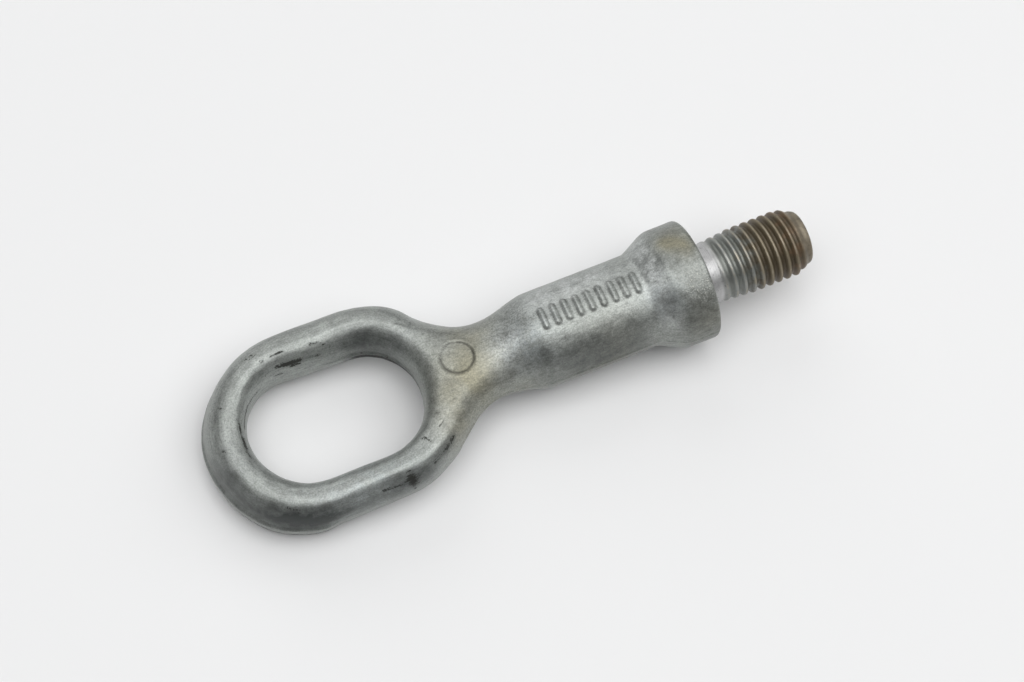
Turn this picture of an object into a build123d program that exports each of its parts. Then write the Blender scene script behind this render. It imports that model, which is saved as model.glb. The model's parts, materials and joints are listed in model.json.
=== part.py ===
from build123d import *
import math
import os

os.makedirs("parts", exist_ok=True)

# A screw-in tow eye, drop-forged in one piece of steel: an oval eye, a waisted neck,
# a round shank, a flange with a flat seat, and a stud for an M18 x 2.5 thread.
# It lies at rest on Z = 0, on the far end of the eye and the shoulder of the flange.
# Places along the axis count from the seat face: the stud is ahead of it, and the
# shank, the neck and the eye are behind it, at negative places.

# Stud, turned for the thread, with a plain neck behind it and a nose ahead of it
thread_diameter = 18.0
thread_length = 18.5
thread_edge_radius = 0.3
stud_neck_depth = 0.8
stud_neck_length = 7.0
seat_corner_radius = 0.8
end_chamfer = 1.8
nose_length = 2.6
nose_draft_angle = 10.0
nose_radius = 1.2

# Flange and shank
shank_diameter = 24.9
shank_length = 30.7
flange_overhang = 3.55
flange_thickness = 8.9
flange_edge_radius = 0.9
flare_angle = 27.3
shoulder_radius = 6.5
flare_foot_radius = 3.0

# Neck, from the end of the shank to the near edge of the hole
neck_length = 30.5
waist_width = 20.5
waist_from_shank = 10.0
rise_length = 15.5
neck_squareness = 2.6
neck_sections = 8
neck_inset = 0.1
shank_lap = 1.5
root_past_crest = 1.7
root_inset = 1.0
root_drop = 0.5

# Eye: an oval loop of forged bar, taller than it is wide
hole_length = 45.0
hole_width = 30.1
bar_width = 11.4
bar_height = 16.0
near_curve_depth = 18.5
far_curve_depth = 20.2

# Places and radii along the stud
stud_radius = thread_diameter / 2
stud_neck_radius = stud_radius - stud_neck_depth
thread_start = stud_neck_length + stud_neck_depth
thread_end = thread_start + thread_length
nose_start = thread_end + end_chamfer
stud_length = nose_start + nose_length
nose_root_radius = stud_radius - end_chamfer
nose_end_radius = nose_root_radius - nose_length * math.tan(math.radians(nose_draft_angle))

# Places along the flange and the shank, with both fillets of the flare kept on its slope
shank_radius = shank_diameter / 2
flange_radius = shank_radius + flange_overhang
flare_length = flange_overhang / math.tan(math.radians(flare_angle))
flare_slope = flange_overhang / math.sin(math.radians(flare_angle))
fillet_run = math.tan(math.radians(flare_angle / 2))
shoulder_fillet = min(shoulder_radius, 0.6 * flare_slope / fillet_run)
foot_fillet = min(flare_foot_radius, 0.3 * flare_slope / fillet_run)
flare_start = -flange_thickness - flare_length
shank_start = flare_start - shank_length

# Places along the neck and the eye
bar_half_width = bar_width / 2
bar_half_height = bar_height / 2
loop_half_width = hole_width / 2 + bar_half_width
near_bar_crest = shank_start - neck_length + bar_half_width
far_bar_crest = shank_start - neck_length - hole_length - bar_half_width
near_curve_centre = near_bar_crest - near_curve_depth
far_curve_centre = far_bar_crest + far_curve_depth
neck_root = near_bar_crest - root_past_crest
waist_place = shank_start - waist_from_shank
rise_start = shank_start - rise_length

# At rest the axis rises towards the stud, until the underside of the far bar and the
# shoulder of the flange touch one level line
shoulder_place = -flange_thickness + shoulder_fillet * fillet_run
shoulder_depth = flange_radius - shoulder_fillet
contact_run = shoulder_place - far_bar_crest
tilt = math.atan2(shoulder_depth, contact_run)
tilt += math.asin((shoulder_fillet - bar_half_height) / math.hypot(contact_run, shoulder_depth))
seat_height = shoulder_depth * math.cos(tilt) + shoulder_fillet - shoulder_place * math.sin(tilt)
middle_place = (stud_length + far_bar_crest - bar_half_width) / 2

# The eye lies in this plane, and the stud points along its X
lying = Plane(
    origin=(-middle_place * math.cos(tilt), 0, seat_height),
    x_dir=(math.cos(tilt), 0, math.sin(tilt)),
    z_dir=(-math.sin(tilt), 0, math.cos(tilt)),
)


def across(place, aside=0.0):
    """The plane square to the axis at a place along it, with the eye's width as its X."""
    origin = lying.from_local_coords((place, aside, 0))
    return Plane(origin, x_dir=lying.y_dir, z_dir=lying.x_dir)


def loop_chord(place):
    """Half the eye's outer width at a place on its near curve."""
    reach = (place - near_curve_centre) / (near_curve_depth + bar_half_width)
    return (loop_half_width + bar_half_width) * math.sqrt(1 - reach**2)


def neck_half_width(place):
    """Half the neck's width: a parabola on each side of the waist."""
    if place < waist_place:
        end_half_width = loop_chord(neck_root) - root_inset
        run = waist_place - neck_root
    else:
        end_half_width = shank_radius - neck_inset
        run = waist_from_shank
    share = (place - waist_place) / run
    return waist_width / 2 + (end_half_width - waist_width / 2) * share**2


def neck_half_height(place):
    """Half the neck's height: level beside the eye, then a parabola up to the shank."""
    share = max(0.0, place - rise_start) / rise_length
    return bar_half_height - neck_inset + (shank_radius - bar_half_height) * share**2


def rounded_outline(half_width, half_height, squareness, steps=24):
    """Points of |x / a|^n + |y / b|^n = 1, which is an ellipse where the squareness n is 2."""
    points = []
    for step in range(steps):
        turn = 2 * math.pi * step / steps
        x = half_width * abs(math.cos(turn)) ** (2 / squareness)
        y = half_height * abs(math.sin(turn)) ** (2 / squareness)
        points.append((math.copysign(x, math.cos(turn)), math.copysign(y, math.sin(turn))))
    return points


with BuildPart() as tow_eye:
    # The eye: an oval section carried round a loop with two straight sides
    with BuildLine(lying) as loop:
        EllipticalCenterArc(
            (near_curve_centre, 0), near_curve_depth, loop_half_width, start_angle=-90, arc_size=180
        )
        Line((near_curve_centre, loop_half_width), (far_curve_centre, loop_half_width))
        EllipticalCenterArc(
            (far_curve_centre, 0), far_curve_depth, loop_half_width, start_angle=90, arc_size=180
        )
        Line((far_curve_centre, -loop_half_width), (near_curve_centre, -loop_half_width))
    with BuildSketch(across(near_curve_centre, -loop_half_width)):
        Ellipse(bar_half_width, bar_half_height)
    sweep(path=loop.wire())

    # The neck: rounded sections that grow out of the eye's near bar and into the shank
    for section in range(neck_sections):
        share = section / (neck_sections - 1)
        place = neck_root + share * (shank_start - neck_root)
        half_height = neck_half_height(place) - (root_drop if section == 0 else 0)
        squareness = neck_squareness + share * (2 - neck_squareness)
        with BuildSketch(across(place)):
            with BuildLine():
                Spline(*rounded_outline(neck_half_width(place), half_height, squareness), periodic=True)
            make_face()
    with BuildSketch(across(shank_start + shank_lap)):
        Circle(shank_radius - 3 * neck_inset)
    loft()

    # The shank, the flange and the stud: one profile turned about the axis
    with BuildSketch(lying):
        with BuildLine():
            profile = FilletPolyline(
                (shank_start, 0),
                (shank_start, shank_radius),
                (flare_start, shank_radius),
                (-flange_thickness, flange_radius),
                (0, flange_radius),
                (0, stud_neck_radius),
                (stud_neck_length, stud_neck_radius),
                (thread_start, stud_radius),
                (thread_end, stud_radius),
                (nose_start, nose_root_radius),
                (stud_length, nose_end_radius),
                (stud_length, 0),
                radius=(
                    0,
                    foot_fillet,
                    shoulder_fillet,
                    flange_edge_radius,
                    seat_corner_radius,
                    thread_edge_radius,
                    thread_edge_radius,
                    thread_edge_radius,
                    thread_edge_radius,
                    nose_radius,
                ),
            )
            Line(profile @ 1, profile @ 0)
        make_face()
    revolve(axis=Axis(lying.origin, lying.x_dir))

tow_eye.part.label = "tow_eye"
export_step(tow_eye.part, "parts/tow_eye.step")
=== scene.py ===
import json

import bmesh
import bpy
import numpy as np
from mathutils import Matrix, Vector


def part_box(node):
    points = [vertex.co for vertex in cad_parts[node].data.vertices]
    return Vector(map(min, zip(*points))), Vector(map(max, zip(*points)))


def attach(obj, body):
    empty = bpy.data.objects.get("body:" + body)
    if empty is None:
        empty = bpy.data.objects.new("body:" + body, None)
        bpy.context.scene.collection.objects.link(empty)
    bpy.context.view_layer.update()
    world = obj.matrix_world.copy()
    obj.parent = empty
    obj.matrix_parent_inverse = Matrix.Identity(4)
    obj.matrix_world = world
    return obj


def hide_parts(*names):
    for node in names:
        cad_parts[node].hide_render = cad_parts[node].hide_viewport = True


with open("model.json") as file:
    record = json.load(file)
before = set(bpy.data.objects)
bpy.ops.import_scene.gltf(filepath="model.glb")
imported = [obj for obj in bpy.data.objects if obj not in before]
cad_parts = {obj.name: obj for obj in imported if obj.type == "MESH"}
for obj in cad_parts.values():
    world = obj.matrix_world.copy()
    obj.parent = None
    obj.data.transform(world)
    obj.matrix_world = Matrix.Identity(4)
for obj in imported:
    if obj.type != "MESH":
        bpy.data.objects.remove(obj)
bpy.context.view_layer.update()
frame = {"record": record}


# The forged eye: a carbon-steel bar drop-forged between two dies into an oval loop, a waisted
# neck, a round shank and a flange, all one piece with the stud. The flash is trimmed at the
# parting line, which leaves a low seam in the middle of every side, and the whole is zinc coated.
mounts = {mount["name"]: mount for mount in frame["record"]["mounts"]}
along_stud = np.array(mounts["stud"]["axis"])
across_eye = np.array([0.0, 1.0, 0.0])
square_to_eye = np.cross(along_stud, across_eye)
forging_axes = np.array([along_stud, across_eye, square_to_eye])
stud_middle = np.array(mounts["stud"]["pos_m"])
seat_to_stud = (stud_middle - np.array(mounts["seat"]["pos_m"])) @ along_stud
seat_centre = stud_middle - along_stud * seat_to_stud


def to_row_frame(points):
    """Points in mm on the forging's own axes, which run along the stud from the seat face, across the
    eye and square to its plane, turned and moved into the row frame, in metres."""
    return seat_centre + 0.001 * points @ forging_axes


shank_radius = 12.45
shank_length = 30.7
flange_radius = 16.0
flange_thickness = 8.9
flare_length = 6.88
flare_foot_radius = 3.0
shoulder_radius = 6.5
rim_edge_radius = 0.9
shank_start = -flange_thickness - flare_length - shank_length

hole_length = 45.0
neck_length = 30.5
bar_half_width = 5.7
bar_half_height = 8.0
eye_half_width = 1000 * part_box("tow_eye")[1][1]
loop_half_width = eye_half_width - bar_half_width
near_depth = 18.5
far_depth = 20.2
near_centre = shank_start - neck_length + bar_half_width - near_depth
far_centre = shank_start - neck_length - hole_length - bar_half_width + far_depth
bar_draw = 0.45
far_power = 0.9
far_squared = (-90, -106)
near_power = 0.8
near_squared = (-94, -82)
front_squared = (2, -8)
far_lean = 0.14
far_leaning = (-106, -120)

loop_samples = 4001
spin = np.linspace(0, 2 * np.pi, loop_samples)
near_side = np.cos(spin) > 0
loop_along = np.where(near_side, near_centre, far_centre)
loop_along = loop_along + np.where(near_side, near_depth, far_depth) * np.cos(spin)
loop_across = loop_half_width * np.sin(spin)
loop_run = np.concatenate([[0.0], np.cumsum(np.hypot(np.diff(loop_along), np.diff(loop_across)))])
loop_length = loop_run[-1]


def gaussian_steps(spread):
    """Pairs of a whole step, out to three spreads either way, and its Gaussian weight
    exp(-(step / spread)^2 / 2), with the weights made to add up to 1."""
    steps = np.arange(-3 * spread, 3 * spread + 1)
    weights = np.exp(-((steps / spread) ** 2) / 2)
    return list(zip(steps, weights / weights.sum()))


def eased_loop(points, spread):
    """A closed line of even steps blurred along itself by a Gaussian of that many steps, then drawn
    out to its first length and width, so that its straight sides run softly into its curves."""
    blurred = sum(weight * np.roll(points, step, axis=0) for step, weight in gaussian_steps(spread))
    middle = (points.max(axis=0) + points.min(axis=0)) / 2
    blurred_middle = (blurred.max(axis=0) + blurred.min(axis=0)) / 2
    return middle + (blurred - blurred_middle) * np.ptp(points, axis=0) / np.ptp(blurred, axis=0)


even_run = np.linspace(0, loop_length, loop_samples)
even_loop = np.stack([
    np.interp(even_run, loop_run, loop_along),
    np.interp(even_run, loop_run, loop_across),
], axis=1)
even_loop[:-1] = eased_loop(even_loop[:-1], spread=62)
even_loop[-1] = even_loop[0]


def loop_point(distance):
    """The eye's centre line: two half ellipses joined by straight sides and eased, read off by arc
    length from the crest beside the neck."""
    distance = np.mod(distance, loop_length)
    x = np.interp(distance, even_run, even_loop[:, 0])
    y = np.interp(distance, even_run, even_loop[:, 1])
    return np.stack([x, y], axis=-1)


def loop_heading(distance):
    """Unit tangent of the centre line, from the points a hair before and after."""
    hair = 0.02
    step = loop_point(distance + hair) - loop_point(distance - hair)
    return step / np.linalg.norm(step, axis=-1, keepdims=True)


def soft_step(low, high, value):
    """3t^2 - 2t^3 of the share t of the way from low to high, so 0 up to low and 1 past high. It steps
    down along the value where low is the greater of the two."""
    t = np.clip((value - low) / (high - low), 0, 1)
    return t * t * (3 - 2 * t)


def signed_power(value, power):
    """The power of a number's size, with its sign kept."""
    return np.sign(value) * np.abs(value) ** power


def bar_skin(distance, turn):
    """The bar's section carried round the loop: centre + outward normal * half width * cos(turn)^p
    + square to the eye * half height * sin(turn)^p. It is an oval, p = 1, at the back, squarer at
    the far end and in front of the neck. The far end leans in as it rises, and is drawn thinner on
    one side and thicker on the other, by sin(2t) * sin(t)^2 over the half turn t of that end."""
    heading = loop_heading(distance)
    outward = np.stack([heading[..., 1], -heading[..., 0]], axis=-1)
    far_turn = np.interp(np.mod(distance, loop_length), loop_run, spin) - np.pi / 2
    far_turn = np.clip(far_turn, 0, np.pi)
    half_width = bar_half_width - bar_draw * np.sin(2 * far_turn) * np.sin(far_turn) ** 2
    centre = loop_point(distance)
    x, y = centre[..., 0], centre[..., 1]
    power = 1 - (1 - far_power) * soft_step(*far_squared, x)
    power = power - (1 - near_power) * soft_step(*near_squared, x) * soft_step(*front_squared, y)
    height = bar_half_height * signed_power(np.sin(turn), power)
    flat = centre + outward * (half_width * signed_power(np.cos(turn), power))[..., None]
    flat[..., 0] += far_lean * soft_step(*far_leaning, x) * height
    return np.concatenate([flat, height[..., None]], axis=-1)


# Where the neck leaves the loop, and how the grids of loop, neck and shank share their columns
neck_reach_angle = np.radians(50)
neck_half_run = np.interp(neck_reach_angle, spin, loop_run)
crest_steps = 64
side_steps = 56
loop_steps = 250
neck_rows = 64
seam_crowding = 0.6

side_turn = np.linspace(-np.pi / 2, np.pi / 2, side_steps + 1)
side_turn = side_turn - seam_crowding / 2 * np.sin(2 * side_turn)
full_turn = np.concatenate([side_turn[:-1], np.pi + side_turn[:-1]])
crest_run = np.linspace(neck_half_run, -neck_half_run, crest_steps + 1)

# The loop, whole where the neck isn't, and only its inner half beside the neck
free_run = np.linspace(neck_half_run, loop_length - neck_half_run, loop_steps + 1)
free_loop = bar_skin(*np.meshgrid(free_run, full_turn, indexing="ij"))
inner_loop = bar_skin(*np.meshgrid(crest_run[::-1], np.pi + side_turn, indexing="ij"))

# The neck's columns start on the opening left in the loop: up one side, over the top crest,
# down the other side and back along the bottom crest
mouth_run = np.concatenate([
    np.full(side_steps, neck_half_run),
    crest_run[:-1],
    np.full(side_steps, -neck_half_run),
    crest_run[:0:-1],
])
mouth_turn = np.concatenate([
    side_turn[:-1],
    np.full(crest_steps, np.pi / 2),
    side_turn[:0:-1],
    np.full(crest_steps, -np.pi / 2),
])
corner_angle = np.radians(50)
side_angle = corner_angle * side_turn / (np.pi / 2)
crest_angle = np.linspace(corner_angle, np.pi - corner_angle, crest_steps + 1)
column_angle = np.concatenate([
    side_angle[:-1],
    crest_angle[:-1],
    np.pi + side_angle[:-1],
    np.pi + crest_angle[:-1],
])
neck_pull = 1.5
side_slope = 0.32
crest_slope = 0.52


def neck_skin(share):
    """Each column is a Hermite curve from the loop's skin to the shank's end circle. It leaves along
    the loop's own tangent, turned to the axis at the crest, and arrives on the slope of the
    flare into the shank; both pulls are a fixed multiple of the chord."""
    start = bar_skin(mouth_run, mouth_turn)
    end = np.stack([
        np.full_like(column_angle, shank_start),
        shank_radius * np.cos(column_angle),
        shank_radius * np.sin(column_angle),
    ], axis=-1)
    heading = loop_heading(np.array([neck_half_run]))[0]
    swing = np.arctan2(heading[1], -heading[0]) * mouth_run / neck_half_run
    leave = np.stack([np.cos(swing), -np.sin(swing), 0 * swing], axis=-1)
    slope = side_slope + (crest_slope - side_slope) * np.sin(column_angle) ** 2
    arrive = np.stack([
        np.ones_like(slope),
        slope * np.cos(column_angle),
        slope * np.sin(column_angle),
    ], axis=-1)
    arrive = arrive / np.linalg.norm(arrive, axis=-1, keepdims=True)
    pull = neck_pull * np.linalg.norm(end - start, axis=-1, keepdims=True)
    t = share[:, None, None]
    return (
        (2 * t**3 - 3 * t**2 + 1) * start
        + (t**3 - 2 * t**2 + t) * pull * leave
        + (3 * t**2 - 2 * t**3) * end
        + (t**3 - t**2) * pull * arrive
    )


def eased_round(grid, spread, ramp, share):
    """Rows of a closed grid blurred along their columns by a Gaussian of that many columns, then drawn
    out to their first width and height. The blur starts from nothing at the first row, is whole
    past the ramp and ends before the last row, so that no corner of the opening runs on as a crease."""
    blurred = sum(weight * np.roll(grid, step, axis=1) for step, weight in gaussian_steps(spread))
    growth = np.abs(grid).max(axis=1, keepdims=True) / np.abs(blurred).max(axis=1, keepdims=True)
    growth[..., 0] = 1
    amount = soft_step(0, ramp, share) * soft_step(1, 0.8, share)
    return grid + (blurred * growth - grid) * amount[:, None, None]


def rounded_profile(corners, radii, spacing):
    """A line through the corners, each inner one replaced by an arc of its radius that touches both
    sides, then read off at even steps of about the spacing."""
    arc_points = 25
    corners = np.array(corners, float)
    points = [corners[:1]]
    for before, corner, after, radius in zip(corners, corners[1:], corners[2:], radii):
        back = (before - corner) / np.linalg.norm(before - corner)
        ahead = (after - corner) / np.linalg.norm(after - corner)
        half_angle = np.arccos(back @ ahead) / 2
        middle = corner + radius / np.sin(half_angle) * (back + ahead) / np.linalg.norm(back + ahead)
        share = np.linspace(0, 1, arc_points)[:, None]
        touch = corner + radius / np.tan(half_angle) * (back * (1 - share) + ahead * share)
        spoke = touch - middle
        points.append(middle + radius * spoke / np.linalg.norm(spoke, axis=1, keepdims=True))
    points = np.concatenate(points + [corners[-1:]])
    run = np.concatenate([[0.0], np.cumsum(np.linalg.norm(np.diff(points, axis=0), axis=1))])
    even = np.linspace(0, run[-1], int(np.ceil(run[-1] / spacing)) + 1)
    return np.stack([np.interp(even, run, points[:, 0]), np.interp(even, run, points[:, 1])], axis=1)


def turned(profile, angles):
    """A profile of (place along the axis, radius) turned about the axis, one row for each point."""
    along = np.repeat(profile[:, :1], len(angles), axis=1)
    return np.stack([along, profile[:, 1:] * np.cos(angles), profile[:, 1:] * np.sin(angles)], axis=-1)


seat_ring = 3
seat_steps = 9
shank_profile = rounded_profile(
    [
        (shank_start, shank_radius),
        (shank_start + shank_length, shank_radius),
        (-flange_thickness, flange_radius),
        (0, flange_radius),
        (0, flange_radius - seat_ring),
    ],
    [flare_foot_radius, shoulder_radius, rim_edge_radius],
    spacing=0.33,
)
seat_radii = np.linspace(flange_radius - seat_ring, 0, seat_steps)
seat_rows = np.stack([np.zeros(seat_steps), seat_radii], axis=1)[1:]
shank_skin = turned(np.concatenate([shank_profile, seat_rows]), column_angle)


def grid_quads(rows, columns, first, closed):
    """Quads between the neighbours of a grid that is numbered row by row from first."""
    number = first + np.arange(rows * columns).reshape(rows, columns)
    if closed:
        number = np.concatenate([number, number[:, :1]], axis=1)
    corners = [number[:-1, :-1], number[1:, :-1], number[1:, 1:], number[:-1, 1:]]
    return np.stack(corners, axis=-1).reshape(-1, 4)


def welded_mesh(name, grids):
    """One closed mesh from (grid of points, closed round its columns or not), with the edges that
    the grids share merged and all faces turned outwards."""
    points = np.concatenate([grid.reshape(-1, 3) for grid, closed in grids])
    first = np.cumsum([0] + [grid.shape[0] * grid.shape[1] for grid, closed in grids])
    quads = [grid_quads(*grid.shape[:2], start, closed) for (grid, closed), start in zip(grids, first)]
    mesh = bpy.data.meshes.new(name)
    mesh.from_pydata(points.tolist(), [], np.concatenate(quads).tolist())
    shell = bmesh.new()
    shell.from_mesh(mesh)
    weld_distance = 1e-4
    bmesh.ops.remove_doubles(shell, verts=shell.verts, dist=weld_distance)
    bmesh.ops.recalc_face_normals(shell, faces=shell.faces)
    shell.to_mesh(mesh)
    shell.free()
    mesh.polygons.foreach_set("use_smooth", np.ones(len(mesh.polygons), bool))
    return mesh


def skin_of(mesh):
    """The mesh's points and their normals, as two arrays."""
    points = np.empty(3 * len(mesh.vertices), np.float32)
    normals = np.empty(3 * len(mesh.vertices), np.float32)
    mesh.vertices.foreach_get("co", points)
    mesh.vertices.foreach_get("normal", normals)
    return points.reshape(-1, 3).astype(float), normals.reshape(-1, 3).astype(float)


def place_skin(mesh, points):
    """Puts the points, in mm on the forging's axes, into the mesh as metres in the row frame."""
    mesh.vertices.foreach_set("co", to_row_frame(points).astype(np.float32).ravel())
    mesh.update()


def give_attribute(mesh, name, values):
    """Stores one number for each point of the mesh, for the materials to read."""
    layer = mesh.attributes.new(name, "FLOAT", "POINT")
    layer.data.foreach_set("value", np.asarray(values, np.float32))


def waves(points, longest, shortest, seed, count=24):
    """Even random swell from -1 to 1: a mean of sines in seeded directions and wave lengths."""
    chance = np.random.default_rng(seed)
    direction = chance.normal(size=(3, count))
    direction = direction / np.linalg.norm(direction, axis=0)
    length = np.exp(chance.uniform(np.log(shortest), np.log(longest), count))
    phase = chance.uniform(0, 2 * np.pi, count)
    swell = np.sin(points @ (direction * 2 * np.pi / length) + phase).sum(axis=1)
    return np.clip(swell / np.sqrt(2 * count), -1, 1)


def eased_along(grid, middle_row, reach, spread):
    """Rows of a grid blurred along the axis by a Gaussian of that many rows. The blur is whole at the
    middle row, fades away from it as exp(-(rows / reach)^2), and rounds the edge that lies there."""
    rows = np.arange(len(grid))
    last_row = len(grid) - 1
    near = [weight * grid[np.clip(rows + step, 0, last_row)] for step, weight in gaussian_steps(spread)]
    amount = np.exp(-(((rows - middle_row) / reach) ** 2))
    return grid + (sum(near) - grid) * amount[:, None, None]


neck_share = np.linspace(0, 1, neck_rows + 1)
neck = eased_round(neck_skin(neck_share), spread=9, ramp=0.12, share=neck_share)
neck = eased_round(neck, spread=14, ramp=0.5, share=neck_share)
neck_and_shank = np.concatenate([neck, shank_skin[1:]])
neck_and_shank = eased_along(neck_and_shank, middle_row=neck_rows, reach=10, spread=5)
forging = welded_mesh("forged_eye", [(free_loop, True), (inner_loop, False), (neck_and_shank, True)])
skin, outward = skin_of(forging)
x, y, z = skin.T

# The seam: a low ridge where the dies met, and the lower die set a little to one side, which leaves
# a ledge along the outside and the near wall of the hole; it is ground off on the front straight
seam_height = 0.22
seam_half_width = 0.4
seam_left_in_hole = 0.4
seam_left_where_ground = 0.2
ledge_half_height = 0.13
ring_shift_along = -0.6
ring_shift_across = -0.45
shank_shift_across = -0.15
shift_lost_in_hole = 0.7
ring_begins = (-70, -80)
ground_along = (-112, -107)
ground_across = (-8, -14)
body_only = soft_step(-0.4, -1.2, x)
past_centre = np.maximum((x - near_centre) / near_depth, 0) + np.minimum((x - far_centre) / far_depth, 0)
from_middle = np.hypot(past_centre, y / loop_half_width)
in_hole = soft_step(1.03, 0.97, from_middle)
on_ring = soft_step(*ring_begins, x)
ground_off = soft_step(*ground_along, x) * on_ring * soft_step(*ground_across, y)
ragged = 0.75 + 0.35 * waves(skin, longest=20, shortest=4, seed=11)
seam = seam_height * ragged * np.exp(-((z / seam_half_width) ** 2)) * body_only
seam = seam * (1 + (seam_left_in_hole - 1) * in_hole) * (1 + (seam_left_where_ground - 1) * ground_off)
lower_die = soft_step(ledge_half_height, -ledge_half_height, z) * body_only
lower_die = lower_die * (1 - ground_off) * (1 - in_hole * soft_step(-90, -100, x))
shift_across = ring_shift_across * on_ring
shift_across = shift_across + shank_shift_across * (1 - on_ring) * soft_step(-14, -20, x)
shift_along = ring_shift_along * on_ring * (1 - shift_lost_in_hole * in_hole)
die_shift = np.stack([shift_along, shift_across, np.zeros_like(x)], axis=1)


def plan_spot(along, across, reach):
    """A soft spot seen square to the eye: exp(-(distance from the place on plan / reach)^2)."""
    return np.exp(-((x - along) ** 2 + (y - across) ** 2) / reach**2)


# The bar is thinner than drawn along the front, at the far left and at the hole's far back corner,
# and fuller at the outside of its near back corner
front_thinning = 0.65
ground_thinning = 0.5
far_left_thinning = 0.4
back_corner_fullness = 0.5
hole_corner_thinning = 1.0
thinner = front_thinning * soft_step(4, -8, y) * on_ring + ground_thinning * ground_off
thinner = thinner + far_left_thinning * soft_step(-124, -130, x) * soft_step(8, -2, y)
thinner = (thinner - back_corner_fullness * plan_spot(-77.5, 21.5, 7.0)) * (1 - in_hole)
thinner = thinner + hole_corner_thinning * plan_spot(-112.5, 14, 8.0) * in_hole

# Forging unevenness: a slow swell, a finer one and shallow dents
swell_height = 0.07
ripple_height = 0.03
dent_count = 70
swell = swell_height * waves(skin, longest=26, shortest=9, seed=3)
swell = swell + ripple_height * waves(skin, longest=7, shortest=2.5, seed=5)
chance = np.random.default_rng(8)
dent_at = skin[chance.integers(0, len(skin), dent_count)]
dent_reach = chance.uniform(0.5, 1.6, dent_count)
dent_depth = chance.uniform(0.03, 0.12, dent_count)
dent_gap = np.linalg.norm(skin[:, None, :] - dent_at, axis=2) / dent_reach
dents = (dent_depth * np.exp(-(dent_gap**2))).sum(axis=1)

# A row of plain raised bars along the top of the shank, and a round recess on the neck
bar_count = 9
bar_pitch = 3.15
bar_width = 1.15
bar_length = 5.6
bar_rise = 0.45
row_middle = -30.4
out_of_reach = 9.0
angle_round = np.arctan2(z, y) - np.pi / 2
round_shank = shank_radius * angle_round
row_place = (x - row_middle) / bar_pitch
bar_number = np.clip(np.round(row_place), -(bar_count - 1) / 2, (bar_count - 1) / 2)
from_bar = bar_pitch * (row_place - bar_number)
past_end = np.maximum(np.abs(round_shank) - (bar_length - bar_width) / 2, 0)
bar_edge = np.where(z > 4, np.hypot(from_bar, past_end) - bar_width / 2, out_of_reach)
bars = bar_rise * soft_step(0.22, -0.32, bar_edge)

recess_along = -66.2
recess_across = 0.6
recess_radius = 4.3
recess_depth = 0.4
recess_lip = 0.12
recess_edge = np.hypot(x - recess_along, y - recess_across) - recess_radius
recess_edge = np.where(z > 3, recess_edge, out_of_reach)
recess = recess_depth * soft_step(0.35, -0.45, recess_edge)
recess = recess - recess_lip * np.exp(-(((recess_edge - 0.7) / 0.45) ** 2))

lift = (seam + swell * body_only - dents * body_only + bars - recess)[:, None]
narrowed = outward * [1, 1, 0] * thinner[:, None]
place_skin(forging, skin + outward * lift - narrowed + die_shift * lower_die[:, None])

forged_eye = bpy.data.objects.new("forged_eye", forging)
bpy.context.collection.objects.link(forged_eye)
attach(forged_eye, "root")
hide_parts("tow_eye")


def spots(points, places):
    """Sum of soft spots, each exp(-(distance / reach)^2) times its strength, from rows of (along,
    across, square, reach, strength)."""
    places = np.array(places, float)
    gap = np.linalg.norm(points[:, None, :] - places[:, :3], axis=2) / places[:, 3]
    return (places[:, 4] * np.exp(-(gap**2))).sum(axis=1)


def strokes(points, normals, lines):
    """The strongest of some soft strokes, from rows of (along, across, square at one end, the same at
    the other, half width, strength). Each is strength * exp(-(distance along the skin / half
    width)^2), and fades over 2 mm where the skin is above or below its line."""
    fade_height = 2
    lines = np.array(lines, float)
    start = lines[:, :3]
    run = lines[:, 3:6] - start
    share = ((points[:, None, :] - start) * run).sum(axis=2) / (run**2).sum(axis=1)
    gap = points[:, None, :] - start - np.clip(share, 0, 1)[..., None] * run
    height = (gap * normals[:, None, :]).sum(axis=2)
    width = np.sqrt(np.maximum((gap**2).sum(axis=2) - height**2, 0))
    faded = np.exp(-((width / lines[:, 6]) ** 2) - (height / fade_height) ** 2)
    return (lines[:, 7] * faded).max(axis=1)


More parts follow.
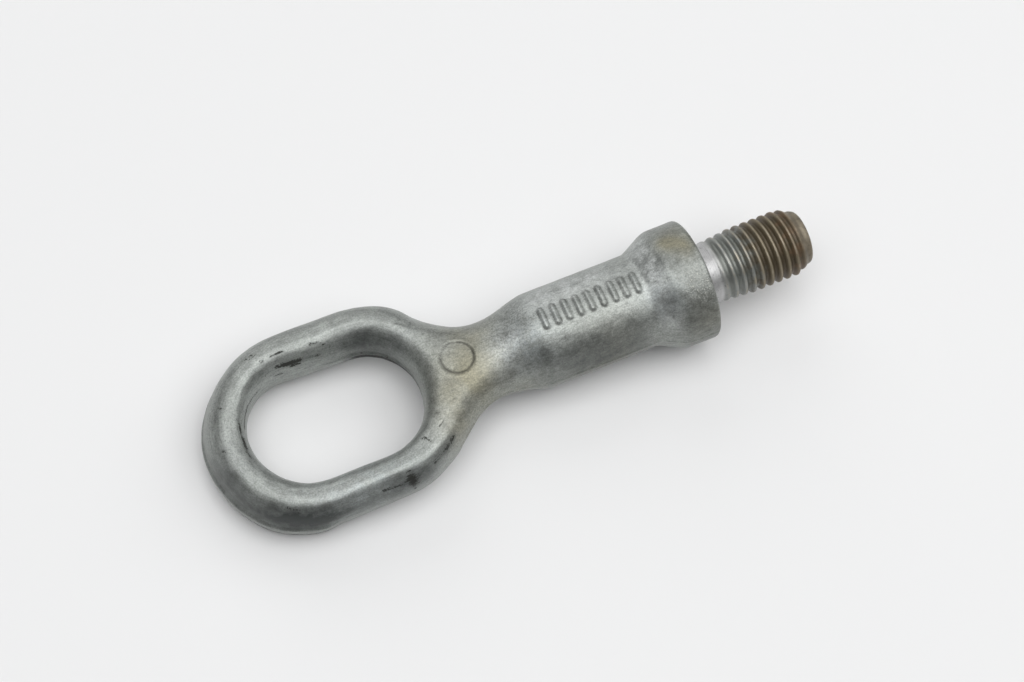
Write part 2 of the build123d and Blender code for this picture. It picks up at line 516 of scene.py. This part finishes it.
# Smears of grease, soot, stains and bare pitted coat from years of use, with painted shade under the ring
# and in the hole, and painted light on tops and highlights
grease = strokes(skin, outward, [
    (-108.8, 16.6, 5.2, -106.7, 16.6, 5.2, 0.45, 1.2), (-106.7, 16.6, 5.2, -104.3, 16.4, 5.1, 0.6, 1.6),
    (-104.3, 16.4, 5.1, -102.3, 16.4, 5.2, 0.5, 1.5), (-105.1, 16.1, 4.2, -102.8, 16.0, 4.3, 0.35, 1.0),
    (-101.4, 16.4, 5.3, -97.5, 16.0, 4.7, 0.4, 0.7), (-98.8, 18.5, 7.4, -96.8, 18.0, 7.2, 0.35, 0.8),
    (-96.8, 18.0, 7.2, -95.5, 17.4, 6.6, 0.35, 0.8), (-95.5, 17.4, 6.6, -94.2, 16.8, 5.8, 0.35, 0.65),
    (-109.2, 19.0, 7.8, -107.6, 19.1, 7.7, 0.35, 0.85), (-107.6, 19.1, 7.7, -105.7, 19.1, 7.8, 0.4, 1.0),
    (-111.8, 18.5, 7.7, -111.2, 18.6, 7.7, 0.4, 0.8), (-109.7, 15.8, 2.6, -107.8, 15.9, 2.7, 0.4, 0.75),
    (-114.3, 14.3, 2.1, -117.1, 12.3, 2.8, 0.4, 0.7), (-117.1, 12.3, 2.8, -119.1, 10.1, 3.7, 0.4, 0.8),
    (-119.1, 10.1, 3.7, -120.5, 7.8, 3.7, 0.45, 0.9), (-120.5, 7.8, 3.7, -121.5, 5.2, 4.0, 0.45, 0.8),
    (-122.3, 6.7, 6.7, -122.8, 2.0, 6.0, 0.45, 0.7), (-122.8, 2.0, 6.0, -123.1, -0.9, 6.4, 0.7, 1.0),
    (-123.1, -0.9, 6.4, -123.0, -4.0, 6.9, 0.55, 0.8), (-125.8, 11.3, 7.5, -124.8, 10.4, 7.9, 0.4, 0.65),
    (-128.8, 0.2, 7.4, -128.4, -0.2, 7.6, 0.4, 0.8), (-116.4, 20.5, 7.5, -112.4, 21.2, 7.9, 0.6, 0.5),
    (-82.5, -16.0, 7.5, -81.5, -16.4, 7.9, 0.35, 0.8), (-81.5, -16.4, 7.9, -80.8, -17.9, 8.0, 0.35, 0.75),
    (-88.6, -24.1, 5.0, -88.2, -24.6, 3.7, 1.4, 1.5), (-88.9, -22.7, 7.1, -88.3, -23.1, 6.7, 0.5, 0.8),
    (-87.0, -23.8, 5.5, -86.0, -23.9, 5.1, 0.5, 0.9), (-88.4, -24.9, 2.4, -88.2, -25.1, 0.7, 0.6, 0.8),
    (-95.7, -24.4, 4.7, -93.9, -24.4, 4.6, 0.7, 0.75), (-93.9, -24.4, 4.6, -91.3, -24.5, 4.3, 0.8, 0.7),
    (-75.0, -18.4, 6.0, -76.6, -19.7, 5.8, 0.6, 0.85), (-76.6, -19.7, 5.8, -78.8, -21.2, 5.5, 0.7, 0.7),
    (-78.8, -21.2, 5.5, -81.5, -22.5, 5.4, 0.8, 0.5), (-76.4, -11.3, 7.5, -76.0, -11.5, 7.5, 0.5, 0.6),
    (-119.2, -20.0, 6.6, -117.0, -21.7, 6.2, 0.6, 0.75),
])


def level_band(height, half_width):
    """A soft band at one height square to the eye: exp(-((z - height) / half width)^2)."""
    return np.exp(-(((z - height) / half_width) ** 2))


# Painted shade: a dark band low on the back wall of the hole, where shade falls under the raised bar. It is
# laid into both the grease and the soot.
shade_in_hole = level_band(-1.9, 1.6) * in_hole * soft_step(-94, -87, x) * soft_step(-8, 1, y)
grease = np.maximum(grease, shade_in_hole)
# Soot, with painted shade. The spots along the lower front outside of the ring darken it where its
# underside is in shade. Those low on the shank and flange darken them towards the bottom.
soot = spots(skin, [
    (-133.2, -1.0, 3.0, 4.0, 0.45), (-132.2, -5.5, 3.5, 4.0, 0.55), (-130.2, -10.8, 3.4, 4.0, 0.65),
    (-127.6, -15.4, 3.2, 4.0, 0.75), (-124.0, -19.2, 3.2, 4.0, 0.8), (-119.6, -22.4, 3.2, 4.0, 0.95),
    (-114.8, -24.6, 3.2, 4.0, 0.95), (-109.6, -25.6, 3.2, 4.0, 0.9), (-104.2, -25.6, 3.4, 3.6, 0.65),
    (-98.8, -25.6, 3.4, 3.5, 0.55), (-93.4, -25.6, 3.4, 3.5, 0.55), (-88.0, -25.2, 3.6, 3.5, 0.55),
    (-83.0, -23.6, 4.0, 3.5, 0.5), (-80.0, -22.3, 5.6, 1.9, 0.5), (-77.6, -20.6, 5.9, 1.9, 0.55),
    (-75.3, -18.7, 6.0, 1.9, 0.5), (-116.5, -22.6, 6.0, 2.5, 0.35), (-111.5, -24.0, 6.0, 2.5, 0.35),
    (-121.0, -20.0, 6.0, 2.5, 0.3), (-129.5, -7.0, 6.6, 3.5, 0.3), (-123.0, 0.7, 4.2, 2.5, 0.2),
    (-89.0, 16.0, 4.0, 5.0, 0.5), (-83.6, 14.4, 4.0, 5.0, 0.6), (-79.0, 10.4, 4.0, 4.0, 0.45),
    (-46.6, -5.8, 10.8, 3.5, 0.3), (-46.4, -8.6, 9.0, 3.5, 0.3), (-40.0, -10.8, 6.2, 6.0, 0.4),
    (-32.0, -11.3, 5.0, 6.0, 0.4), (-24.0, -11.3, 5.0, 6.0, 0.4), (-38.0, -12.2, 1.0, 5.0, 0.35),
    (-30.0, -12.3, 1.0, 5.0, 0.35), (-22.0, -12.3, 1.0, 5.0, 0.35), (-47.0, -11.5, 2.5, 4.0, 0.3),
    (-12.1, -9.9, 10.7, 3.5, 0.2), (-8.6, -14.2, 7.0, 4.5, 0.35), (-4.0, -14.2, 7.5, 4.0, 0.35),
    (-10.6, -7.7, 13.0, 2.5, 0.35), (-100.0, 22.0, 7.4, 5.0, 0.2), (-117.0, 16.0, 7.4, 4.0, 0.1),
    (-88.5, -24.3, 4.5, 3.0, 0.45), (-84.5, -23.6, 5.0, 2.5, 0.35), (-92.5, -24.4, 4.6, 2.5, 0.3),
])
rim_soot_cut = 0.8
under_rim_darkness = 0.7
hole_shade_strength = 0.8
front_side = on_ring * (1 - in_hole) * soft_step(2, -6, y)
rim = level_band(-1.0, 0.9) * lower_die * front_side
# Painted shade with some dirt: a dark band just under the ledge along the ring's front, where shade falls
# under the bar.
shade_and_dirt_under_rim = level_band(-3.7, 0.9) * front_side * soft_step(-104, -112, x)
grease = np.maximum(grease, under_rim_darkness * shade_and_dirt_under_rim)
# The band along the ledge is kept lighter: most of its soot is taken away.
soot = soot * (1 - rim_soot_cut * rim)
soot = soot + under_rim_darkness * shade_and_dirt_under_rim + hole_shade_strength * shade_in_hole
# Bluish stain, and a bluish painted sheen of cool light on the highlights of the neck, flange cone and ring
# bottom.
blue_tint = spots(skin, [
    (-50.0, -3.5, 9.8, 7.0, 0.9), (-13.0, -7.0, 12.4, 5.0, 0.8), (-100.0, -21.0, 7.8, 14.0, 0.6),
])
tan_tint = spots(skin, [
    (-60.0, 6.6, 6.7, 7.0, 0.8), (-66.0, 0.0, 7.9, 8.0, 0.8), (-66.0, -8.0, 7.0, 7.0, 0.6),
    (-72.0, -17.0, 5.0, 7.0, 0.7), (-4.0, 8.0, 14.0, 5.0, 0.6), (-7.0, 5.6, 14.9, 2.6, 1.4),
    (-3.3, 3.1, 15.7, 3.0, 1.5), (-70.6, -9.5, 7.8, 6.0, 0.7), (-74.2, -14.2, 7.4, 5.0, 0.15),
    # These three spots low on the front of the shank, neck and flange paint a warm reflection of the table.
    # The others are tan stains.
    (-30.0, -12.0, 1.0, 12.0, 0.6), (-57.0, -9.0, 2.0, 9.0, 0.8), (-4.0, -14.0, 6.0, 7.0, 0.6),
])
# Painted light: pale spots where highlights fall on the neck, shank, flange cone and ring, and on the upper
# back side of the shank.
pale = spots(skin, [
    (-52.5, -2.0, 8.8, 5.0, 0.9), (-56.0, -6.5, 6.5, 5.0, 0.4), (-42.0, 6.0, 10.8, 5.0, 1.15),
    (-34.0, 6.4, 10.6, 5.0, 1.15), (-26.0, 6.4, 10.6, 5.0, 1.0), (-18.0, 5.0, 11.8, 4.0, 0.3),
    (-13.5, -6.0, 12.2, 4.0, 0.5), (-110.0, -21.0, 7.9, 4.0, 0.35), (-102.0, -21.5, 7.9, 4.0, 0.35),
    (-110.0, 15.5, 6.0, 4.0, 0.3), (-74.2, -14.2, 7.4, 6.0, 0.4),
])
flare_middle = -13.0
flare_reach = 2.6
flare_painted_highlight = 1.3
on_flare = np.exp(-(((x - flare_middle) / flare_reach) ** 2))
# Painted highlight along the top of the flare.
pale = pale + flare_painted_highlight * on_flare * soft_step(3, 9, z)
# Dull flange coat, halved on the upper back side, which is painted lighter where light falls from the back.
on_flange = soft_step(-10.5, -7.5, x) * (1 - 0.5 * soft_step(3, 9, y))
pitting = spots(skin, [(-3.2, -8.6, 13.5, 4.5, 1.0), (-3.0, -5.0, 15.2, 4.0, 0.5)])
# Dirt and painted shade in the corners around the raised bars and the edge of the recess.
cavity = np.exp(-(((bar_edge - 0.28) / 0.24) ** 2)) + np.exp(-(((recess_edge + 0.1) / 0.3) ** 2))
marks = {
    "grease": grease,
    "soot": soot,
    "blue_tint": blue_tint,
    "tan_tint": tan_tint,
    "pitting": pitting,
    "cavity": cavity,
    "rim": rim,
    "pale": pale,
    "on_flange": on_flange,
}
for mark, strength in marks.items():
    give_attribute(forging, mark, strength)

# A place along the bar, shortened, and across its section, for streaks that follow the bar. The run
# along the bar is that on the near curve, then on the straight side, then on the far curve.
shortening_on_bar = 0.15
shortening_on_axis = 0.3
sides_apart = 50.0
bar_streaks_end = -78
far_first = loop_samples // 4 + 1
half_turn = np.arctan2(np.abs(y) / loop_half_width, past_centre)
along_bar = np.interp(np.minimum(half_turn, np.pi / 2), spin, loop_run)
along_bar = along_bar + np.clip(near_centre - x, 0, near_centre - far_centre)
far_half_turn = np.maximum(half_turn, spin[far_first])
along_bar = along_bar + np.interp(far_half_turn, spin, loop_run) - loop_run[far_first]
run_on_bar = shortening_on_bar * along_bar + sides_apart * (y < 0)
on_bar = np.stack([run_on_bar, loop_half_width * (from_middle - 1), z], axis=1)
on_axis = skin * [shortening_on_axis, 1.0, 1.0]
streak_place = np.where((x < bar_streaks_end)[:, None], on_bar, on_axis)
layer = forging.attributes.new("streak_place", "FLOAT_VECTOR", "POINT")
layer.data.foreach_set("vector", (0.001 * streak_place).astype(np.float32).ravel())


def add_node(tree, kind, sockets, **settings):
    """A new node with its settings. Each socket, by name or number, gets a value, or a link where it
    is given the output of another node."""
    node = tree.nodes.new(kind)
    for name, value in settings.items():
        setattr(node, name, value)
    for name, value in sockets.items():
        if isinstance(value, bpy.types.NodeSocket):
            tree.links.new(value, node.inputs[name])
        else:
            node.inputs[name].default_value = value
    return node


def noise(tree, coords, size, detail=4.0, roughness=0.55):
    """Noise from 0 to 1 with main features of that size, in millimetres."""
    sockets = {"Vector": coords, "Scale": 1000 / size, "Detail": detail, "Roughness": roughness}
    return add_node(tree, "ShaderNodeTexNoise", sockets).outputs["Fac"]


def stored(tree, name):
    """The number that the mesh keeps under this name."""
    return add_node(tree, "ShaderNodeAttribute", {}, attribute_name=name).outputs["Fac"]


def ease(tree, value, low, high, at_low=0.0, at_high=1.0):
    """The value carried smoothly from at_low, where it is low, to at_high, where it is high."""
    sockets = {"Value": value, "From Min": low, "From Max": high, "To Min": at_low, "To Max": at_high}
    return add_node(tree, "ShaderNodeMapRange", sockets, interpolation_type="SMOOTHSTEP").outputs["Result"]


def sum_of(tree, first, second, operation="ADD"):
    """Two numbers joined by one sum, such as ADD, MULTIPLY or MAXIMUM."""
    return add_node(tree, "ShaderNodeMath", {0: first, 1: second}, operation=operation).outputs["Value"]


def coat_over(tree, share, under, over, how="MIX"):
    """One colour laid over another by a share from 0 to 1."""
    sockets = {0: share, 6: under, 7: over}
    return add_node(tree, "ShaderNodeMix", sockets, data_type="RGBA", blend_type=how).outputs[2]


def tones(tree, value, stops):
    """Colours run together along a value, from (place, grey or red-green-blue) stops."""
    ramp = add_node(tree, "ShaderNodeValToRGB", {"Fac": value})
    elements = ramp.color_ramp.elements
    for _ in stops[2:]:
        elements.new(0.5)
    for element, (place, colour) in zip(elements, stops):
        element.position = place
        element.color = (*np.broadcast_to(colour, 3), 1)
    return ramp.outputs["Color"]


def dull_zinc():
    """Zinc coat gone dull: grey clouds with the stored rim, pale places of painted light, dull flange, a
    tan tint that is partly a painted warm reflection and a blue tint that is partly a painted sheen laid
    over them, all multiplied by mottling, grain, streaks, specks and scratches. Pits, soot with painted
    shade, grease with painted shade, and dirt with painted shade in the corners lie on top. Noise drawn out
    along the bar makes the streaks, and the roughness and a fine bump come from the same noise."""
    material = bpy.data.materials.new("dull_zinc_coat")
    material.use_nodes = True
    tree = material.node_tree
    surface = tree.nodes["Principled BSDF"]
    coords = add_node(tree, "ShaderNodeTexCoord", {}).outputs["Object"]
    drawn = add_node(tree, "ShaderNodeAttribute", {}, attribute_name="streak_place").outputs["Vector"]
    clouds = noise(tree, coords, size=14, detail=5)
    mottle = noise(tree, coords, size=2.6, detail=6, roughness=0.65)
    grain = noise(tree, coords, size=0.42, detail=3, roughness=0.7)
    specks = noise(tree, coords, size=0.9, detail=2)
    flecks = noise(tree, coords, size=0.4, detail=2)
    streaks = noise(tree, drawn, size=0.55, detail=4, roughness=0.6)
    scratches = noise(tree, drawn, size=0.3, detail=2)

    colour = tones(tree, clouds, [
        (0.30, (0.272, 0.287, 0.273)), (0.5, (0.316, 0.334, 0.317)), (0.70, (0.36, 0.379, 0.364)),
    ])
    tints = [
        ("rim", ease(tree, mottle, 0.3, 0.6, 0.3, 0.8), (0.29, 0.3, 0.28, 1)),
        ("pale", ease(tree, mottle, 0.3, 0.65, 0.35, 0.85), (0.5, 0.52, 0.51, 1)),
        ("on_flange", ease(tree, mottle, 0.3, 0.65, 0.75, 0.3), (0.15, 0.157, 0.146, 1)),
        ("tan_tint", ease(tree, clouds, 0.3, 0.65, 0.3, 0.75), (0.248, 0.238, 0.178, 1)),
        ("blue_tint", ease(tree, mottle, 0.35, 0.62, 0.1, 0.6), (0.36, 0.4, 0.41, 1)),
    ]
    for mark, pattern, tint in tints:
        share = sum_of(tree, stored(tree, mark), pattern, "MULTIPLY")
        colour = coat_over(tree, share, colour, tint)

    textures = [
        (mottle, [(0.3, 0.84), (0.5, 1.0), (0.7, 1.1)]),
        (grain, [(0.3, 0.7), (0.5, 1.0), (0.7, 1.28)]),
        (streaks, [(0.3, 0.78), (0.5, 1.0), (0.7, 1.14)]),
        (specks, [(0.20, 0.55), (0.30, 1.0)]),
        (scratches, [(0.22, 0.45), (0.30, 1.0)]),
    ]
    for pattern, stops in textures:
        colour = coat_over(tree, 1.0, colour, tones(tree, pattern, stops), "MULTIPLY")
    flakes = sum_of(tree, stored(tree, "pitting"), ease(tree, flecks, 0.5, 0.68), "MULTIPLY")
    colour = coat_over(tree, sum_of(tree, flakes, 0.8, "MULTIPLY"), colour, (0.48, 0.49, 0.45, 1))

    soot_and_shade_share = sum_of(tree, stored(tree, "soot"), ease(tree, mottle, 0.7, 0.34, 0.7, 1.0), "MULTIPLY")
    colour = coat_over(tree, soot_and_shade_share, colour, (0.055, 0.06, 0.058, 1))
    ragged_edge = sum_of(tree, streaks, 0.7, "MULTIPLY")
    ragged_edge = sum_of(tree, ragged_edge, sum_of(tree, grain, 0.6, "MULTIPLY"))
    # The stored grease holds the real smears, and also the painted shade in the hole and under the rim.
    smear_and_shade = stored(tree, "grease")
    grease_and_shade_share = sum_of(tree, smear_and_shade, ease(tree, ragged_edge, 0.45, 0.85, -0.5, 0.5))
    grease_and_shade_share = sum_of(tree, grease_and_shade_share, ease(tree, smear_and_shade, 0.02, 0.2), "MULTIPLY")
    grease_and_shade_share = sum_of(tree, ease(tree, grease_and_shade_share, 0.3, 0.8), 0.92, "MULTIPLY")
    corner_dirt_and_shade = sum_of(tree, stored(tree, "cavity"), ease(tree, mottle, 0.3, 0.65, 0.8, 0.35), "MULTIPLY")
    grease_and_shade_share = sum_of(tree, grease_and_shade_share, corner_dirt_and_shade, "MAXIMUM")
    colour = coat_over(tree, grease_and_shade_share, colour, (0.02, 0.02, 0.017, 1))

    tree.links.new(colour, surface.inputs["Base Color"])
    tree.links.new(ease(tree, grease_and_shade_share, 0, 1, 0.66, 0.0), surface.inputs["Metallic"])
    tree.links.new(ease(tree, grease_and_shade_share, 0, 1, 0.5, 0.1), surface.inputs["Specular IOR Level"])
    roughness = ease(tree, mottle, 0.3, 0.7, 0.37, 0.49)
    roughness = sum_of(tree, roughness, sum_of(tree, grease_and_shade_share, 0.12, "MULTIPLY"))
    tree.links.new(roughness, surface.inputs["Roughness"])
    relief = sum_of(tree, mottle, sum_of(tree, grain, 0.5, "MULTIPLY"))
    relief = sum_of(tree, relief, sum_of(tree, flakes, 0.6, "MULTIPLY"))
    bump = add_node(tree, "ShaderNodeBump", {"Strength": 0.4, "Distance": 0.0002, "Height": relief})
    tree.links.new(bump.outputs["Normal"], surface.inputs["Normal"])
    return material


forging.materials.append(dull_zinc())


# The stud: the forging's end, turned to size with a plain neck behind the flange, and its M18 x 2.5
# right-hand thread rolled into it. The coat holds on the first turns; the rest is dirty and rusty.
thread_radius = mounts["stud"]["dims"]["r_mm"]
thread_length = mounts["stud"]["dims"]["length_mm"]
pitch = 2.5
thread_depth = 1.0
nose_groove_depth = 0.3
stud_neck_depth = 0.8
stud_neck_radius = thread_radius - stud_neck_depth
thread_start = seat_to_stud * 1000 - thread_length / 2
thread_end = thread_start + thread_length
run_in_start = 3.8
run_in_end = thread_start + 5.2
chamfer = 2.4
chamfer_drop = 1.25
nose_length = 2.0
nose_end_radius = 6.9
root_sink = 0.5
root_radius = stud_neck_radius + 0.85
corner_rise = 0.8
corner_run = 0.9
face_ring = 2
stud_tip = thread_end + chamfer + nose_length
thread_phase = 0.35
crest_share = 0.15
flank_share = 0.65

stud_profile = rounded_profile(
    [
        (-root_sink, root_radius),
        (0.0, stud_neck_radius + corner_rise),
        (corner_run, stud_neck_radius),
        (run_in_start, stud_neck_radius),
        (run_in_end, thread_radius),
        (thread_end, thread_radius),
        (thread_end + chamfer, thread_radius - chamfer_drop),
        (stud_tip, nose_end_radius),
        (stud_tip, nose_end_radius - face_ring),
    ],
    [0.05, 0.5, 0.3, 0.3, 0.3, 0.3, 1.1],
    spacing=0.12,
)
root_steps = 4
face_steps = 8
round_steps = 240
root_radii = np.linspace(0, root_radius, root_steps + 1)[:-1]
root_rows = np.stack([np.full(root_steps, -root_sink), root_radii], axis=1)
face_radii = np.linspace(nose_end_radius - face_ring, 0, face_steps + 1)[1:]
tip_rows = np.stack([np.full(face_steps, stud_tip), face_radii], axis=1)
stud_angle = np.linspace(0, 2 * np.pi, round_steps, endpoint=False)
stud_skin = turned(np.concatenate([root_rows, stud_profile, tip_rows]), stud_angle)


def thread_cut(along, angle):
    """How far the thread's groove goes in, from 0 on the crest to 1 in the root. One pitch is a narrow
    crest, flanks and a flat root, half eased, and it climbs one pitch for each turn."""
    phase = (along - thread_start) / pitch - angle / (2 * np.pi) + thread_phase
    from_crest = 2 * np.abs(phase - np.round(phase))
    flank = np.clip((from_crest - crest_share) / flank_share, 0, 1)
    return 0.5 * flank + 0.5 * soft_step(0, 1, flank)


# The groove goes down to the root from whatever the crest has grown to, and dies out on the nose
stud_along = stud_skin[..., 0]
full_radius = np.hypot(stud_skin[..., 1], stud_skin[..., 2])
rolled = soft_step(run_in_start - 0.3, run_in_start + 1.2, stud_along)
rolled = rolled * soft_step(stud_tip - 0.5, thread_end + chamfer, stud_along)
groove_depth = np.maximum(full_radius - (thread_radius - thread_depth), nose_groove_depth) * rolled
new_radius = full_radius - groove_depth * thread_cut(stud_along, stud_angle)
shrink = new_radius / np.maximum(full_radius, 1e-6)
stud_skin = stud_skin * np.stack([np.ones_like(shrink), shrink, shrink], axis=-1)

stud_mesh = welded_mesh("threaded_stud", [(stud_skin, True)])
stud_points = skin_of(stud_mesh)[0]
place_skin(stud_mesh, stud_points)
threaded_stud = bpy.data.objects.new("threaded_stud", stud_mesh)
bpy.context.collection.objects.link(threaded_stud)
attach(threaded_stud, "root")
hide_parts("tow_eye")

stud_place = stud_points[:, 0]
stud_turn = np.arctan2(stud_points[:, 2], stud_points[:, 1])
threaded = soft_step(run_in_start, run_in_start + pitch, stud_place)
threaded = threaded * soft_step(stud_tip - 0.5, thread_end + chamfer, stud_place)
give_attribute(stud_mesh, "groove", thread_cut(stud_place, stud_turn) * threaded)
give_attribute(stud_mesh, "from_seat", stud_place)


def worn_thread():
    """Bright turned neck, zinc on the first turns, then brown dirt, with painted shade darkening the roots,
    crests that are rubbed and also painted lighter as a highlight, and rust at the tip. What lies where is
    told by the distance from the seat."""
    material = bpy.data.materials.new("worn_thread")
    material.use_nodes = True
    tree = material.node_tree
    surface = tree.nodes["Principled BSDF"]
    coords = add_node(tree, "ShaderNodeTexCoord", {}).outputs["Object"]
    from_seat = stored(tree, "from_seat")
    groove = stored(tree, "groove")
    patches = noise(tree, coords, size=3.0, detail=5, roughness=0.6)
    specks = noise(tree, coords, size=0.6, detail=3)
    ring_sockets = {"W": from_seat, "Scale": 4.0, "Detail": 2.0}
    rings = add_node(tree, "ShaderNodeTexNoise", ring_sockets, noise_dimensions="1D").outputs["Fac"]
    ragged_place = sum_of(tree, from_seat, ease(tree, patches, 0.25, 0.75, -3.0, 3.0))
    dirty = ease(tree, ragged_place, thread_start + 0.8 * pitch, thread_start + 3.6 * pitch)
    rusty = ease(tree, ragged_place, thread_end - 4.0, thread_end - 0.5)
    on_nose = ease(tree, from_seat, thread_end + 0.6, thread_end + chamfer)

    # Coat and dirt darken from crest to root: painted shade in the grooves of the thread, over the dirt in
    # the roots.
    coat = tones(tree, groove, [
        (0.0, (0.29, 0.3, 0.285)), (0.4, (0.23, 0.24, 0.226)), (1.0, (0.175, 0.184, 0.17)),
    ])
    dirt_and_root_shade = tones(tree, groove, [
        (0.0, (0.2, 0.167, 0.112)), (0.4, (0.122, 0.098, 0.06)), (1.0, (0.07, 0.053, 0.03)),
    ])
    rust = tones(tree, patches, [(0.35, (0.10, 0.077, 0.05)), (0.6, (0.165, 0.098, 0.052))])
    nose_dirt = tones(tree, patches, [(0.35, (0.14, 0.12, 0.087)), (0.65, (0.26, 0.222, 0.16))])
    colour = coat_over(tree, dirty, coat, dirt_and_root_shade)
    colour = coat_over(tree, sum_of(tree, rusty, 0.55, "MULTIPLY"), colour, rust)
    colour = coat_over(tree, on_nose, colour, nose_dirt)
    # Lighter crests: rubbed wear, and also a painted highlight on the crests.
    rubbed_and_highlit_crests = sum_of(tree, ease(tree, groove, 0.06, 0.0), ease(tree, patches, 0.42, 0.62), "MULTIPLY")
    rubbed_and_highlit_crests = sum_of(tree, rubbed_and_highlit_crests, ease(tree, from_seat, run_in_start + 0.5, run_in_start + 2.0), "MULTIPLY")
    rubbed_and_highlit_crests = sum_of(tree, rubbed_and_highlit_crests, ease(tree, on_nose, 1.0, 0.0, 0.0, 0.5), "MULTIPLY")
    colour = coat_over(tree, rubbed_and_highlit_crests, colour, (0.38, 0.34, 0.265, 1))
    turned_neck = ease(tree, from_seat, run_in_start + 2.0, run_in_start)
    colour = coat_over(tree, turned_neck, colour, tones(tree, patches, [(0.3, 0.44), (0.7, 0.53)]))
    colour = coat_over(tree, 1.0, colour, tones(tree, specks, [(0.26, 0.5), (0.4, 1.0)]), "MULTIPLY")

    tree.links.new(colour, surface.inputs["Base Color"])
    tree.links.new(ease(tree, dirty, 0, 1, 0.65, 0.4), surface.inputs["Metallic"])
    tree.links.new(ease(tree, dirty, 0, 1, 0.42, 0.5), surface.inputs["Roughness"])
    relief = sum_of(tree, rings, turned_neck, "MULTIPLY")
    relief = sum_of(tree, relief, sum_of(tree, patches, 0.7, "MULTIPLY"))
    bump = add_node(tree, "ShaderNodeBump", {"Strength": 0.4, "Distance": 0.0002, "Height": relief})
    tree.links.new(bump.outputs["Normal"], surface.inputs["Normal"])
    return material


stud_mesh.materials.append(worn_thread())


# The table: a plain white painted top, which only serves as the stage. The part lies loose on it,
# and it is wide enough to fill the picture and to show in the metal.
table_half_side = 2.5
table_corners = table_half_side * np.array([(-1, -1, 0), (1, -1, 0), (1, 1, 0), (-1, 1, 0)], float)
table_mesh = bpy.data.meshes.new("table_top")
table_mesh.from_pydata(table_corners.tolist(), [], [(0, 1, 2, 3)])
table_top = bpy.data.objects.new("table_top", table_mesh)
bpy.context.collection.objects.link(table_top)
table_white = bpy.data.materials.new("table_white")
table_white.use_nodes = True
table_surface = table_white.node_tree.nodes["Principled BSDF"]
table_surface.inputs["Base Color"].default_value = (0.785, 0.787, 0.79, 1)
table_surface.inputs["Roughness"].default_value = 0.8
table_surface.inputs["Specular IOR Level"].default_value = 0.1
table_mesh.materials.append(table_white)


# Light: a soft lamp overhead under a pale ceiling, two high windows and two low panels, all round
# and turned to the part, in a dark room that leaves the sides of the metal their shade.
def soft_lamp(name, direction, distance, half_angle, brightness):
    """A round lamp that faces the object and fills a cone of that half angle with that brightness,
    where a white table under a whole sky of brightness 1 would show as white."""
    lamp_data = bpy.data.lights.new(name, "AREA")
    lamp_data.shape = "DISK"
    lamp_data.size = 2 * distance * np.tan(np.radians(half_angle))
    lamp_data.energy = brightness * np.pi**2 * (lamp_data.size / 2) ** 2
    lamp = bpy.data.objects.new(name, lamp_data)
    direction = Vector(direction).normalized()
    lamp.location = distance * direction
    lamp.rotation_euler = direction.to_track_quat("Z", "Y").to_euler()
    bpy.context.collection.objects.link(lamp)


lamp_distance = 2.5
ceiling_distance = 2.6
soft_lamp("overhead_lamp", (-0.05, -0.05, 1.0), lamp_distance, half_angle=24, brightness=2.3)
soft_lamp("pale_ceiling", (0.0, 0.0, 1.0), ceiling_distance, half_angle=45, brightness=0.25)
soft_lamp("left_window", (-1.0, -0.1, 1.6), lamp_distance, half_angle=18, brightness=1.2)
soft_lamp("front_window", (0.6, -0.8, 1.6), lamp_distance, half_angle=20, brightness=1.7)
soft_lamp("right_panel", (1.0, 0.0, 0.9), lamp_distance, half_angle=24, brightness=1.4)
soft_lamp("back_panel", (0.0, 1.0, 0.65), lamp_distance, half_angle=23, brightness=1.35)

room = bpy.data.worlds.new("room")
room.use_nodes = True
room.node_tree.nodes["Background"].inputs["Color"].default_value = (0.08, 0.08, 0.08, 1)
room.node_tree.nodes["Background"].inputs["Strength"].default_value = 1.0
bpy.context.scene.world = room


# Camera: a short telephoto that looks down on the eye's plane, turned by its azimuth and elevation
# on the forging's own axes, with its distance and aim along them.
view_azimuth = np.radians(-23.17)
view_elevation = np.radians(66.5)
view_distance = 510.71
aim = np.array([-50.51, 2.33, 0.0])
picture_width = 1024
focal_pixels = 2001
towards_camera = np.array([
    np.sin(view_azimuth) * np.cos(view_elevation),
    -np.cos(view_azimuth) * np.cos(view_elevation),
    np.sin(view_elevation),
])
camera_right = np.array([np.cos(view_azimuth), np.sin(view_azimuth), 0.0])
camera_up = np.cross(towards_camera, camera_right)
camera_data = bpy.data.cameras.new("camera")
camera_data.sensor_fit = "HORIZONTAL"
camera_data.lens = camera_data.sensor_width * focal_pixels / picture_width
camera = bpy.data.objects.new("camera", camera_data)
camera_place = np.eye(4)
camera_place[:3, :3] = np.stack([camera_right, camera_up, towards_camera] @ forging_axes, axis=1)
camera_place[:3, 3] = to_row_frame(aim + view_distance * towards_camera)
camera.matrix_world = Matrix(camera_place.tolist())
bpy.context.collection.objects.link(camera)
bpy.context.scene.camera = camera
bpy.context.scene.view_settings.view_transform = "Standard"
